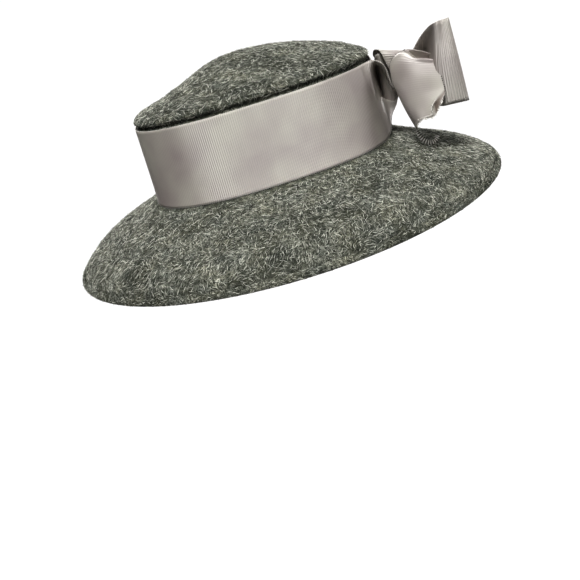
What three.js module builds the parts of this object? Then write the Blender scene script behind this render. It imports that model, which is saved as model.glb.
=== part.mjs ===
// Felt halo hat: a blocked wool-felt crown and turned-down brim in one piece, a wide
// grosgrain ribbon round the crown, and a soft ribbon bow at the back left.
// Millimetres. +Z is up, the hat faces -Y, the wearer's left is +X, and Z = 0 is the
// flat that the brim's edge rests on. The origin is the middle of the brim's oval.
import * as THREE from 'three';

// ---------------------------------------------------------------- driving sizes
const CROWN_BASE_Z = 44;        // height of the crown's foot above the brim's edge
const CROWN_HALF_LENGTH = 98.4; // outside of the felt at the crown's foot, front to back
const CROWN_WIDTH_RATIO = 0.84; // the crown is an oval for a head: width over length
const CROWN_TAPER = 2.2;        // the wall leans in by this much up to the ribbon's top edge
const CROWN_SQUARENESS = 2.5;   // exponent of the oval: 2 is an ellipse, more is blunter
const BRIM_HALF_LENGTH = 181.5;
const BRIM_HALF_WIDTH = 168.5;
const BRIM_SQUARENESS = 2;
const FELT_WALL = 2.5;
const EDGE_FLAT = 3;            // width of the flat that the brim's edge stands on
const EDGE_ROUND = 1.2;         // rounding between the brim and that flat

const RIBBON_WIDTH = 59.4;
const RIBBON_THICKNESS = 1;
const RIBBON_LIFT = 1;          // the band's lower edge stands this far above the crown's foot
const BAND_GAP = 0.65;          // band to felt, on their true ovals; the steps take up half of it
const AROUND = 60;              // steps round the hat

// ---------------------------------------------------------------- felt profile
// Crown top, from its highest point out to the ribbon's top edge. reach is the share of
// the crown's half length; front, side and back are heights above the crown's foot.
const CROWN_TOP = [
  { reach: 0.00,  front: 92.6, side: 92.6, back: 92.6 },
  { reach: 0.14,  front: 92.2, side: 92.0, back: 91.6 },
  { reach: 0.28,  front: 89.9, side: 90.0, back: 89.8 },
  { reach: 0.42,  front: 85.2, side: 86.4, back: 87.2 },
  { reach: 0.54,  front: 80.5, side: 82.6, back: 84.2 },
  { reach: 0.64,  front: 76.4, side: 79.0, back: 81.2 },
  { reach: 0.73,  front: 72.2, side: 75.8, back: 78.4 },
  { reach: 0.82,  front: 70.2, side: 73.0, back: 75.4 },
  { reach: 0.90,  front: 69.6, side: 70.6, back: 71.2 },
  { reach: 0.955, front: 67.2, side: 67.4, back: 67.4 },
  { reach: 0.985, front: 63.6, side: 63.6, back: 63.6 },
  { reach: 0.978, front: 60.4, side: 60.4, back: 60.4 },
];
// Crown wall, down to the foot. lean is the share of CROWN_TAPER taken up at that height.
const CROWN_WALL = [
  { height: 57, lean: 1.0 },
  { height: 38, lean: 0.7 },
  { height: 19, lean: 0.36 },
  { height: 0.4, lean: 0 },
];
// Brim. out is the share of the way from the crown's foot to the edge; front, side and
// back are the drops below the foot. The last drop is the whole height of the foot.
const BRIM = [
  { out: 0.02,  front: 0.8,  side: 0.9,  back: 1.1 },
  { out: 0.06,  front: 2.4,  side: 2.6,  back: 3.0 },
  { out: 0.14,  front: 5.0,  side: 5.4,  back: 6.0 },
  { out: 0.28,  front: 9.0,  side: 10.4, back: 11.2 },
  { out: 0.45,  front: 13.6, side: 15.6, back: 17.6 },
  { out: 0.62,  front: 19.2, side: 21.4, back: 23.6 },
  { out: 0.78,  front: 26.2, side: 27.6, back: 29.0 },
  { out: 0.89,  front: 33.2, side: 33.6, back: 34.0 },
  { out: 0.96,  front: 39.2, side: 39.2, back: 39.2 },
];

// ---------------------------------------------------------------- helpers
const at = (x, y, z) => new THREE.Vector3(x, y, z);

// A point on an oval whose outline is |x/w|^n + |y/l|^n = 1; turn 0 is the back (+Y).
function ovalPoint(turn, halfLength, halfWidth, squareness, z) {
  const along = Math.cos(turn);
  const across = Math.sin(turn);
  const power = 2 / squareness;
  return at(
    halfWidth * Math.sign(across) * Math.abs(across) ** power,
    halfLength * Math.sign(along) * Math.abs(along) ** power,
    z,
  );
}

// Blends a value given at the front, the sides and the back round the hat.
function roundHat(turn, row) {
  const along = Math.cos(turn);
  const back = Math.max(along, 0) ** 2;
  const front = Math.max(-along, 0) ** 2;
  return front * row.front + back * row.back + (1 - front - back) * row.side;
}

// A body from its points and a flat list of point numbers, three to a triangle.
function meshFromTriangles(points, triangles) {
  const geometry = new THREE.BufferGeometry();
  const coordinates = points.flatMap((point) => point.toArray());
  geometry.setAttribute('position', new THREE.Float32BufferAttribute(coordinates, 3));
  geometry.setIndex(triangles);
  geometry.computeVertexNormals();
  return geometry;
}

// ---------------------------------------------------------------- felt hat
// One ring of the felt's outside, as a function of the turn round the hat.
function crownTopRing(row) {
  const halfLength = (CROWN_HALF_LENGTH - CROWN_TAPER * 0.6) * row.reach;
  const squareness = 2 + (CROWN_SQUARENESS - 2) * Math.min(row.reach / 0.9, 1) ** 2;
  return (turn) => ovalPoint(turn, halfLength, halfLength * CROWN_WIDTH_RATIO, squareness,
    CROWN_BASE_Z + roundHat(turn, row));
}

function crownWallRing({ height, lean }) {
  const halfLength = CROWN_HALF_LENGTH - CROWN_TAPER * lean;
  return (turn) => ovalPoint(turn, halfLength, halfLength * CROWN_WIDTH_RATIO, CROWN_SQUARENESS,
    CROWN_BASE_Z + height);
}

function brimRing(row) {
  const halfLength = THREE.MathUtils.lerp(CROWN_HALF_LENGTH, BRIM_HALF_LENGTH, row.out);
  const halfWidth = THREE.MathUtils.lerp(CROWN_HALF_LENGTH * CROWN_WIDTH_RATIO, BRIM_HALF_WIDTH, row.out);
  const squareness = THREE.MathUtils.lerp(CROWN_SQUARENESS, BRIM_SQUARENESS, row.out);
  return (turn) => ovalPoint(turn, halfLength, halfWidth, squareness, CROWN_BASE_Z - roundHat(turn, row));
}

// A ring of the edge, this far in from the brim's full size and at this height.
function edgeRing(inset, z) {
  return (turn) => ovalPoint(turn, BRIM_HALF_LENGTH - inset, BRIM_HALF_WIDTH - inset, BRIM_SQUARENESS, z);
}

function feltHat() {
  const outside = [
    ...CROWN_TOP.slice(1).map(crownTopRing),
    ...CROWN_WALL.map(crownWallRing),
    ...BRIM.map(brimRing),
    edgeRing(0, EDGE_ROUND * 2),
  ];
  const turns = Array.from({ length: AROUND }, (_, j) => (j / AROUND) * 2 * Math.PI);
  const top = at(0, 0, CROWN_BASE_Z + CROWN_TOP[0].side);

  // The inside is the outside moved in by the wall along its normals.
  const outerRows = outside.map((ring) => turns.map(ring));
  const innerRows = outerRows.map((row, i) => row.map((point, j) => {
    const inner = i === 0 ? top : outerRows[i - 1][j];
    const outer = outerRows[Math.min(i + 1, outerRows.length - 1)][j];
    const ahead = row[(j + 1) % AROUND];
    const behind = row[(j + AROUND - 1) % AROUND];
    const normal = ahead.clone().sub(behind).cross(outer.clone().sub(inner)).normalize();
    return point.clone().addScaledVector(normal, -FELT_WALL);
  }));

  // Down the outside, over the flat of the edge, and back up the inside. The inside needs
  // fewer rings than the outside, and stops short of the edge.
  const insideRows = innerRows.slice(0, -2).filter((_, i, all) => i % 2 === 0 || i === all.length - 1);
  const rows = [
    ...outerRows,
    turns.map(edgeRing(EDGE_ROUND, 0)),
    turns.map(edgeRing(EDGE_ROUND + EDGE_FLAT, 0)),
    ...insideRows.reverse(),
  ];

  const points = [top, ...rows.flat(), at(0, 0, top.z - FELT_WALL)];
  const triangles = [];
  const index = (i, j) => 1 + i * AROUND + (j % AROUND);
  const last = points.length - 1;
  for (let j = 0; j < AROUND; j += 1) {
    triangles.push(0, index(0, j + 1), index(0, j));
    for (let i = 0; i + 1 < rows.length; i += 1) {
      triangles.push(index(i, j), index(i, j + 1), index(i + 1, j + 1));
      triangles.push(index(i, j), index(i + 1, j + 1), index(i + 1, j));
    }
    triangles.push(last, index(rows.length - 1, j), index(rows.length - 1, j + 1));
  }
  return meshFromTriangles(points, triangles);
}

// ---------------------------------------------------------------- ribbon
// Ribbon pieces are strips: a list of sections along the ribbon, each a list of points
// from one selvedge to the other. A smooth surface is run through them and given the
// ribbon's thickness, half to each side.
const section = (row) => Object.values(row).map(([x, y, z]) => at(x, y, z));

function throughPoints(points, steps) {
  return new THREE.CatmullRomCurve3(points, false, 'centripetal').getPoints(steps);
}

function ribbonStrip(sections, alongSteps, acrossSteps) {
  const spread = sections.map((points) => throughPoints(points, acrossSteps));
  const lines = spread[0].map((_, j) => throughPoints(spread.map((points) => points[j]), alongSteps));
  const end = alongSteps;
  const side = acrossSteps;
  const faces = [RIBBON_THICKNESS / 2, -RIBBON_THICKNESS / 2].map((lift) => {
    const face = [];
    for (let i = 0; i <= end; i += 1) {
      for (let j = 0; j <= side; j += 1) {
        const along = lines[j][Math.min(i + 1, end)].clone().sub(lines[j][Math.max(i - 1, 0)]);
        const across = lines[Math.min(j + 1, side)][i].clone().sub(lines[Math.max(j - 1, 0)][i]);
        face.push(lines[j][i].clone().addScaledVector(along.cross(across).normalize(), lift));
      }
    }
    return face;
  });

  const triangles = [];
  const quad = (a, b, c, d) => triangles.push(a, b, c, a, c, d);
  const front = (i, j) => i * (side + 1) + j;
  const back = (i, j) => faces[0].length + front(i, j);
  for (let i = 0; i < end; i += 1) {
    for (let j = 0; j < side; j += 1) {
      quad(front(i, j), front(i + 1, j), front(i + 1, j + 1), front(i, j + 1));
      quad(back(i, j), back(i, j + 1), back(i + 1, j + 1), back(i + 1, j));
    }
    quad(front(i, 0), back(i, 0), back(i + 1, 0), front(i + 1, 0));
    quad(front(i, side), front(i + 1, side), back(i + 1, side), back(i, side));
  }
  for (let j = 0; j < side; j += 1) {
    quad(front(0, j), front(0, j + 1), back(0, j + 1), back(0, j));
    quad(front(end, j), back(end, j), back(end, j + 1), front(end, j + 1));
  }
  return meshFromTriangles(faces.flat(), triangles);
}

// The band lies on the crown from one end of the bow to the other. Past those places it
// lifts off, folds into a deep pleat on the near side, and runs into the knot.
const BAND_NEAR_TURN = 30;  // degrees from the back where the near end leaves the crown
const BAND_FAR_TURN = 5;    // and the far end
const BAND_SECTIONS = 28;   // sections laid on the crown between those two
const BAND_NEAR_END = [
  { low: [36, 95.6, 45.6], lowMid: [37.5, 95.6, 60], mid: [40, 94.6, 76],
    highMid: [40, 94.0, 90], high: [36.5, 96.0, 103.4] },
  { low: [31, 99.6, 53], lowMid: [39, 96.4, 63], mid: [44, 92.4, 80],
    highMid: [37, 95.8, 91], high: [33.5, 101.5, 99.0] },
  { low: [32, 105.5, 61], lowMid: [42, 101.0, 66], mid: [46, 98.0, 73],
    highMid: [35, 100.0, 83], high: [33.5, 104.0, 91.0] },
  { low: [35, 110.5, 68], lowMid: [41, 108.0, 70], mid: [44, 107.0, 73],
    highMid: [37, 105.5, 77], high: [33, 105.6, 83] },
];
const BAND_FAR_END = [
  { low: [17, 100.2, 48], lowMid: [16.5, 99.9, 61], mid: [16, 99.6, 75],
    highMid: [16, 99.2, 89], high: [16, 98.6, 102.5] },
  { low: [25, 104.8, 63], lowMid: [25, 104.2, 71], mid: [25, 103.8, 80],
    highMid: [25, 103.2, 88.5], high: [26.5, 102.2, 96] },
  { low: [28.5, 109.5, 73], lowMid: [28.2, 109.2, 77.5], mid: [28, 109, 82],
    highMid: [28.2, 108.6, 87], high: [28.5, 108.2, 92] },
];

function ribbonBand() {
  const stand = BAND_GAP + RIBBON_THICKNESS / 2;
  const onCrown = [];
  for (let i = 0; i <= BAND_SECTIONS; i += 1) {
    const degrees = THREE.MathUtils.lerp(BAND_FAR_TURN + 360, BAND_NEAR_TURN, i / BAND_SECTIONS);
    const turn = THREE.MathUtils.degToRad(degrees);
    const points = [0, 0.25, 0.5, 0.75, 1].map((up) => {
      const halfLength = CROWN_HALF_LENGTH - CROWN_TAPER * up;
      const halfWidth = halfLength * CROWN_WIDTH_RATIO;
      return ovalPoint(turn, halfLength + stand, halfWidth + stand, CROWN_SQUARENESS,
        CROWN_BASE_Z + RIBBON_LIFT + RIBBON_WIDTH * up);
    });
    onCrown.push(points);
  }
  const sections = [
    ...BAND_FAR_END.map(section).reverse(),
    ...onCrown,
    ...BAND_NEAR_END.map(section),
  ];
  return ribbonStrip(sections, 2 * (sections.length - 1), 6);
}

// The knot is a short length of the same ribbon wrapped once round the gathered middle
// of the bow. foot is its edge on the crown's side, head the edge on the outer side.
const KNOT_WRAP = [
  { foot: [33, 99.6, 107.4], head: [33, 121.0, 102.4] },
  { foot: [43, 102.0, 103.5], head: [43, 120.5, 99.0] },
  { foot: [49, 106.5, 88.0],  head: [49, 121.0, 86.0] },
  { foot: [48, 110.0, 69.0],  head: [48, 122.0, 69.0] },
  { foot: [36, 113.0, 63.0],  head: [36, 123.0, 62.5] },
  { foot: [23, 110.0, 68.0],  head: [23, 122.0, 68.0] },
  { foot: [18.6, 106.0, 86.0], head: [19, 121.0, 85.0] },
  { foot: [23.4, 102.8, 102.6], head: [24, 120.5, 98.0] },
];
const KNOT_STEPS = 24;  // steps round the wrap

function bowKnot() {
  const closed = (edge) => {
    const points = KNOT_WRAP.map((row) => at(...row[edge]));
    return new THREE.CatmullRomCurve3(points, true, 'centripetal').getPoints(KNOT_STEPS).slice(0, -1);
  };
  const moved = (line, lift) => line.map((point, i) => {
    const tangent = line[(i + 1) % KNOT_STEPS].clone().sub(line[(i + KNOT_STEPS - 1) % KNOT_STEPS]);
    return point.clone().addScaledVector(tangent.cross(at(0, -1, 0)).normalize(), lift);
  });
  const half = RIBBON_THICKNESS / 2;
  const edges = [
    moved(closed('foot'), half),
    moved(closed('head'), half),
    moved(closed('head'), -half),
    moved(closed('foot'), -half),
  ];
  const triangles = [];
  for (let k = 0; k < edges.length; k += 1) {
    const here = k * KNOT_STEPS;
    const next = ((k + 1) % edges.length) * KNOT_STEPS;
    for (let i = 0; i < KNOT_STEPS; i += 1) {
      const ahead = (i + 1) % KNOT_STEPS;
      triangles.push(here + i, next + ahead, here + ahead);
      triangles.push(here + i, next + i, next + ahead);
    }
  }
  return meshFromTriangles(edges.flat(), triangles);
}

// The near loop stands up at the bow's left: out of the knot, round a soft bend, across
// the wide outer face to a sharp fold, and straight back to the knot behind it.
const NEAR_LOOP = [
  { low: [41, 114, 75], mid: [42, 114, 84], high: [41, 114, 93] },
  { low: [43.5, 122, 70], mid: [45, 122, 84], high: [41, 122.5, 95.5] },
  { low: [48, 126.5, 64], mid: [51, 125.5, 84], high: [45, 126.5, 103] },
  { low: [58, 130.5, 61], mid: [60, 128.5, 88], high: [56, 131, 111.5] },
  { low: [68, 133.5, 60.5], mid: [70.5, 133, 90], high: [68, 135.5, 118] },
  { low: [70, 141, 60], mid: [71.5, 141, 90], high: [69.5, 141, 120] },
  { low: [67, 151.5, 58.6], mid: [67.5, 149.8, 89], high: [66.8, 148, 119.4] },
  { low: [64.6, 152, 58.6], mid: [65, 150.3, 89], high: [64.4, 148.4, 119.2] },
  { low: [56, 147, 59.5], mid: [56.5, 145, 88], high: [56, 143, 115.5] },
  { low: [44, 135.5, 62.5], mid: [44, 134, 86], high: [43.5, 133.5, 106.5] },
  { low: [37, 123.5, 69], mid: [37, 123, 84], high: [36.5, 123.5, 96.5] },
  { low: [35.5, 114, 76], mid: [35.5, 114, 84], high: [35.5, 114, 93] },
];

// The far loop is the near one's fellow on the other side. It droops behind the knot.
const FAR_LOOP = [
  { low: [31.5, 114, 76], mid: [31.5, 114, 84], high: [31.5, 114, 93] },
  { low: [28, 123.5, 70], mid: [28, 124, 80], high: [28, 124, 93] },
  { low: [12, 128, 54], mid: [13, 132, 76], high: [14, 138, 98] },
  { low: [-8, 129, 46], mid: [-7, 135, 70], high: [-5, 143, 95] },
  { low: [-10, 131.5, 46], mid: [-9, 137.5, 70], high: [-7, 145.5, 95] },
  { low: [10, 138, 53], mid: [11, 141, 76], high: [13, 146, 98] },
  { low: [28, 130.5, 66], mid: [29, 131, 80], high: [30, 132, 95] },
  { low: [33.2, 122.5, 72], mid: [33.4, 122.5, 84], high: [33.4, 122.5, 93.5] },
];

// The tail comes over the top of the knot, rolls down in front of it with its inner side
// turned under, and ends in a worn slanting cut.
const TAIL = [
  { inner: [28, 119.5, 104.2], innerMid: [28, 121.2, 104.0], middle: [28, 123, 103.6],
    outerMid: [28, 124.6, 103.2], outer: [28, 126, 102.6] },
  { inner: [40, 118.0, 104.9], innerMid: [40, 119.8, 104.9], middle: [40.5, 121.6, 104.7],
    outerMid: [41, 123.2, 104.4], outer: [41.5, 124.6, 103.8] },
  { inner: [51, 108.5, 105.2], innerMid: [53.5, 113, 104.6], middle: [56, 118, 103],
    outerMid: [58, 122.5, 101], outer: [60, 126, 98.8] },
  { inner: [54, 102.4, 98.0], innerMid: [61, 103.5, 99.4], middle: [67, 110.5, 100.0],
    outerMid: [71, 119.5, 97.8], outer: [74.5, 130.6, 92.5] },
  { inner: [53, 104.0, 88.0], innerMid: [60.5, 101.2, 89], middle: [68, 107, 89],
    outerMid: [74, 118, 87.6], outer: [77, 131.8, 82] },
  { inner: [53, 106.5, 76.0], innerMid: [60.5, 103.0, 77], middle: [67.5, 108, 76.5],
    outerMid: [73.5, 118.5, 75], outer: [77, 132.4, 73.5] },
  { inner: [54, 109.6, 50.0], innerMid: [60, 109.6, 47.5], middle: [64.5, 115.4, 53.4],
    outerMid: [70, 122.3, 54.6], outer: [76, 131.0, 66.4] },
];

// A strip of the tail's selvedge has torn loose and curls down to the brim.
const TORN_SELVEDGE = [
  { near: [59.6, 108.4, 46.9], far: [57.6, 108.6, 47.3] },
  { near: [59.0, 109.8, 42.0], far: [57.0, 110.2, 42.6] },
  { near: [58.6, 113.0, 37.0], far: [56.6, 113.4, 37.8] },
  { near: [58.4, 117.8, 33.6], far: [56.4, 118.0, 34.6] },
  { near: [58.0, 123.4, 31.8], far: [56.0, 123.4, 32.8] },
  { near: [56.6, 127.2, 36.0], far: [54.6, 127.0, 36.6] },
];

// ---------------------------------------------------------------- the hat
const FELT = new THREE.MeshStandardMaterial({ color: 0x74776c, roughness: 0.97, metalness: 0 });
const RIBBON = new THREE.MeshStandardMaterial({ color: 0xaaa29a, roughness: 0.6, metalness: 0 });

const hat = new THREE.Group();
const pieces = [
  ['felt_hat', feltHat(), FELT],
  ['ribbon_band', ribbonBand(), RIBBON],
  ['bow_knot', bowKnot(), RIBBON],
  ['bow_loop_near', ribbonStrip(NEAR_LOOP.map(section), 33, 4), RIBBON],
  ['bow_loop_far', ribbonStrip(FAR_LOOP.map(section), 28, 4), RIBBON],
  ['bow_tail', ribbonStrip(TAIL.map(section), 18, 10), RIBBON],
  ['torn_selvedge', ribbonStrip(TORN_SELVEDGE.map(section), 12, 1), RIBBON],
];
for (const [name, geometry, material] of pieces) {
  const mesh = new THREE.Mesh(geometry, material.clone());
  mesh.name = name;
  hat.add(mesh);
}

export default hat;
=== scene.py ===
import math

import bmesh
import bpy
import numpy as np
from mathutils import Euler, Matrix, Vector


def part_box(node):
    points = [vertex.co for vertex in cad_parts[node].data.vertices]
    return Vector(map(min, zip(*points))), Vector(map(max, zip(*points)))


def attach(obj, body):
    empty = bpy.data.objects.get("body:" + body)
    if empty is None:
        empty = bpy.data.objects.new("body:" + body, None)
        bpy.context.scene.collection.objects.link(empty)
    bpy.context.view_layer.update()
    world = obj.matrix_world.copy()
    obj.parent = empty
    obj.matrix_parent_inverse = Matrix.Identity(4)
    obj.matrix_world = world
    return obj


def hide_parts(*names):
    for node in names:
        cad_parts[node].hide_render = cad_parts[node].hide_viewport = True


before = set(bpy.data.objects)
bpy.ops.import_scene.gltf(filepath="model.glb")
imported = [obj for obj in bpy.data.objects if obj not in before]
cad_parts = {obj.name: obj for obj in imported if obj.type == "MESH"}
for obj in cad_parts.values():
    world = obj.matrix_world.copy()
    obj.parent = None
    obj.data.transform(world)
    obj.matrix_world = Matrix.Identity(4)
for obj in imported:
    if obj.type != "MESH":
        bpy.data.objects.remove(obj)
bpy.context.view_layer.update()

scene = bpy.context.scene
scene.view_settings.view_transform = "Standard"
scene.view_settings.gamma = 0.8  # deeper shadows, white stays white
MM = 0.001

# ---------------------------------------------------------------- the studio
# The hat stands by itself on a wide pale floor under an even white sky. A broad soft light
# comes from beside the camera, and weaker ones from the bow's side and the far side. The
# camera is on the wearer's left, looks down on the brim and leans to one side.
CAMERA_PLACE = Vector((0.6154, -0.0180, 0.1755))
CAMERA_DOWN = math.radians(21.86)
CAMERA_LEAN = math.radians(-17.385)
CAMERA_LENS_MM = 45.96

camera = bpy.data.objects.new("camera", bpy.data.cameras.new("camera"))
camera.data.lens = CAMERA_LENS_MM
camera.data.sensor_width = 36
camera.data.clip_start = 0.01
upright = Euler((math.pi / 2 - CAMERA_DOWN, 0, math.pi / 2)).to_matrix()
leaning = upright @ Matrix.Rotation(CAMERA_LEAN, 3, "Z")
camera.matrix_world = Matrix.LocRotScale(CAMERA_PLACE, leaning, None)
scene.collection.objects.link(camera)
scene.camera = camera

# Each light: its height over the floor and its turn from straight beside the hat towards
# the back, in degrees, its strength, and how broad it looks in degrees.
for name, height, turn, strength, breadth in (
    ("front_light", 50, -11, 4.6, 20),
    ("bow_side_light", 28, 80, 1.5, 20),
    ("far_side_light", 18, 178, 1.3, 40),
):
    lamp = bpy.data.objects.new(name, bpy.data.lights.new(name, "SUN"))
    lamp.data.energy = strength
    lamp.data.angle = math.radians(breadth)
    height, turn = math.radians(height), math.radians(turn)
    level = math.cos(height)
    to_lamp = Vector((math.cos(turn) * level, math.sin(turn) * level, math.sin(height)))
    lamp.matrix_world = to_lamp.to_track_quat("Z", "Y").to_matrix().to_4x4()
    scene.collection.objects.link(lamp)


def white_to_the_camera(tree, dim, white, surface):
    """The camera sees the white shader, while the hat gets its light from the dim one."""
    path = tree.nodes.new("ShaderNodeLightPath")
    either = tree.nodes.new("ShaderNodeMixShader")
    tree.links.new(path.outputs["Is Camera Ray"], either.inputs["Fac"])
    tree.links.new(dim.outputs[0], either.inputs[1])
    tree.links.new(white.outputs[0], either.inputs[2])
    tree.links.new(either.outputs[0], surface)


SKY_LIGHT = 0.045  # what the white surroundings give the hat
WHITE_SKY = 1.05  # how white they look
world = bpy.data.worlds.new("white_sky")
world.use_nodes = True
scene.world = world
tree = world.node_tree
dim_sky = tree.nodes["Background"]
dim_sky.inputs["Color"].default_value = (1, 1, 1, 1)
dim_sky.inputs["Strength"].default_value = SKY_LIGHT
white_sky = tree.nodes.new("ShaderNodeBackground")
white_sky.inputs["Color"].default_value = (1, 1, 1, 1)
white_sky.inputs["Strength"].default_value = WHITE_SKY
white_to_the_camera(tree, dim_sky, white_sky, tree.nodes["World Output"].inputs["Surface"])

FLOOR_HALF_WIDTH = 12
FLOOR_GREY = 0.12  # what it throws back on the underside of the brim
FLOOR_GLOW = 0.9  # makes it look white too
floor_mesh = bpy.data.meshes.new("floor")
bm = bmesh.new()
bmesh.ops.create_grid(bm, x_segments=1, y_segments=1, size=FLOOR_HALF_WIDTH)
bm.to_mesh(floor_mesh)
bm.free()
floor = bpy.data.objects.new("floor", floor_mesh)
scene.collection.objects.link(floor)
floor_paint = bpy.data.materials.new("pale_floor")
floor_paint.use_nodes = True
tree = floor_paint.node_tree
floor_shader = tree.nodes["Principled BSDF"]
floor_shader.inputs["Base Color"].default_value = (FLOOR_GREY, FLOOR_GREY, FLOOR_GREY, 1)
floor_shader.inputs["Roughness"].default_value = 0.9
floor_shader.inputs["Specular IOR Level"].default_value = 0
glow = tree.nodes.new("ShaderNodeEmission")
glow.inputs["Strength"].default_value = FLOOR_GLOW
bright = tree.nodes.new("ShaderNodeAddShader")
tree.links.new(floor_shader.outputs[0], bright.inputs[0])
tree.links.new(glow.outputs[0], bright.inputs[1])
white_to_the_camera(tree, floor_shader, bright, tree.nodes["Material Output"].inputs["Surface"])
floor_mesh.materials.append(floor_paint)

# ---------------------------------------------------------------- felt hat
# Crown and brim are one hood of wool felt about 2.5 mm thick, blocked over a head-shaped
# oval. The tip is a low dome with a soft ridge round its front, the wall goes straight
# down behind the ribbon, and the brim turns down to a rolled edge.
_, hat_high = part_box("felt_hat")
BRIM_HALF_LENGTH = hat_high.y
BRIM_HALF_WIDTH = hat_high.x
CROWN_HALF_LENGTH = 98.4 * MM
CROWN_WIDTH_RATIO = 0.84
CROWN_TAPER = 2.2 * MM
CROWN_SQUARENESS = 2.5  # 2 is an ellipse, more is squarer
SHOULDER_LEAN = 0.6  # the shoulder's share of the wall's taper
SQUARE_FROM_REACH = 0.9  # the tip is an ellipse, and the crown has its squareness from here
CROWN_FOOT = 44 * MM
FELT_WALL = 2.5 * MM
ROUND_STEPS = 192

# From the highest point to the ribbon's top edge: the share of the crown's half length,
# and the height in mm above the crown's foot at the front, the sides and the back.
CROWN_TOP = [
    {"reach": 0.00, "front": 92.6, "side": 92.6, "back": 92.6},
    {"reach": 0.14, "front": 92.2, "side": 92.0, "back": 91.6},
    {"reach": 0.28, "front": 89.9, "side": 90.0, "back": 89.8},
    {"reach": 0.42, "front": 85.2, "side": 86.4, "back": 87.2},
    {"reach": 0.54, "front": 80.5, "side": 82.6, "back": 84.2},
    {"reach": 0.64, "front": 77.4, "side": 79.2, "back": 81.2},
    {"reach": 0.73, "front": 73.8, "side": 76.0, "back": 78.4},
    {"reach": 0.82, "front": 71.6, "side": 73.2, "back": 75.4},
    {"reach": 0.90, "front": 69.6, "side": 70.6, "back": 71.2},
    {"reach": 0.968, "front": 67.6, "side": 67.8, "back": 67.8},
    {"reach": 0.994, "front": 64.6, "side": 64.6, "back": 64.6},
    {"reach": 0.966, "front": 61.2, "side": 61.2, "back": 61.2},
]
# Down the wall: height in mm above the foot, and the share of the taper there.
CROWN_WALL = [
    {"height": 57, "lean": 1.0},
    {"height": 38, "lean": 0.7},
    {"height": 19, "lean": 0.36},
    {"height": 0.4, "lean": 0},
]
# Over the brim: the share of the way out to its edge, and the drops in mm below the foot.
# The last rows are the rolled edge, with a crease above it.
BRIM = [
    {"out": 0.02, "front": 0.8, "side": 0.9, "back": 1.1},
    {"out": 0.06, "front": 2.4, "side": 2.6, "back": 3.0},
    {"out": 0.14, "front": 5.0, "side": 5.4, "back": 6.0},
    {"out": 0.28, "front": 9.0, "side": 10.4, "back": 11.2},
    {"out": 0.45, "front": 13.6, "side": 15.6, "back": 17.6},
    {"out": 0.62, "front": 19.2, "side": 21.4, "back": 23.6},
    {"out": 0.78, "front": 26.2, "side": 27.6, "back": 29.0},
    {"out": 0.89, "front": 33.2, "side": 33.6, "back": 34.0},
    {"out": 0.938, "front": 37.0, "side": 37.0, "back": 37.0},
    {"out": 0.948, "front": 40.3, "side": 40.3, "back": 40.3},
    {"out": 0.960, "front": 38.5, "side": 38.5, "back": 38.5},
    {"out": 0.995, "front": 41.6, "side": 41.6, "back": 41.6},
    {"out": 0.998, "front": 43.0, "side": 43.0, "back": 43.0},
    {"out": 0.988, "front": 44.0, "side": 44.0, "back": 44.0},
    {"out": 0.966, "front": 43.8, "side": 43.8, "back": 43.8},
]


def smooth_line(points, steps, closed=False):
    """Points spaced evenly along a smooth line through the given ones (Catmull-Rom)."""
    points = np.asarray(points, float)
    before, after = 2 * points[0] - points[1], 2 * points[-1] - points[-2]
    if closed:
        before, after = points[-2], points[1]
    ends = np.vstack([before, points, after])
    knots = np.concatenate([[0], np.cumsum(np.linalg.norm(np.diff(ends, axis=0), axis=1) ** 0.5)])
    place = np.linspace(0, len(points) - 1, steps + 1)
    span = np.minimum(place.astype(int), len(points) - 2)
    p = [ends[span + k] for k in range(4)]
    t = [knots[span + k][:, None] for k in range(4)]
    at = t[1] + (place - span)[:, None] * (t[2] - t[1])

    def between(a, b, low, high):
        return a * (high - at) / (high - low) + b * (at - low) / (high - low)

    a = [between(p[k], p[k + 1], t[k], t[k + 1]) for k in range(3)]
    b = [between(a[k], a[k + 1], t[k], t[k + 2]) for k in range(2)]
    return between(b[0], b[1], t[1], t[2])


# One row holds half length, half width, squareness, and the heights round the hat.
felt_rows = []
for row in CROWN_TOP:
    length = (CROWN_HALF_LENGTH - SHOULDER_LEAN * CROWN_TAPER) * row["reach"]
    square = 2 + (CROWN_SQUARENESS - 2) * min(row["reach"] / SQUARE_FROM_REACH, 1) ** 2
    heights = [CROWN_FOOT + row[side] * MM for side in ("front", "side", "back")]
    felt_rows.append([length, length * CROWN_WIDTH_RATIO, square, *heights])
for row in CROWN_WALL:
    length = CROWN_HALF_LENGTH - CROWN_TAPER * row["lean"]
    height = CROWN_FOOT + row["height"] * MM
    felt_rows.append([length, length * CROWN_WIDTH_RATIO, CROWN_SQUARENESS] + [height] * 3)
wall_end = len(felt_rows)
for row in BRIM:
    length = CROWN_HALF_LENGTH + (BRIM_HALF_LENGTH - CROWN_HALF_LENGTH) * row["out"]
    crown_width = CROWN_HALF_LENGTH * CROWN_WIDTH_RATIO
    width = crown_width + (BRIM_HALF_WIDTH - crown_width) * row["out"]
    square = CROWN_SQUARENESS + (2 - CROWN_SQUARENESS) * row["out"]
    heights = [CROWN_FOOT - row[side] * MM for side in ("front", "side", "back")]
    felt_rows.append([length, width, square, *heights])

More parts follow.
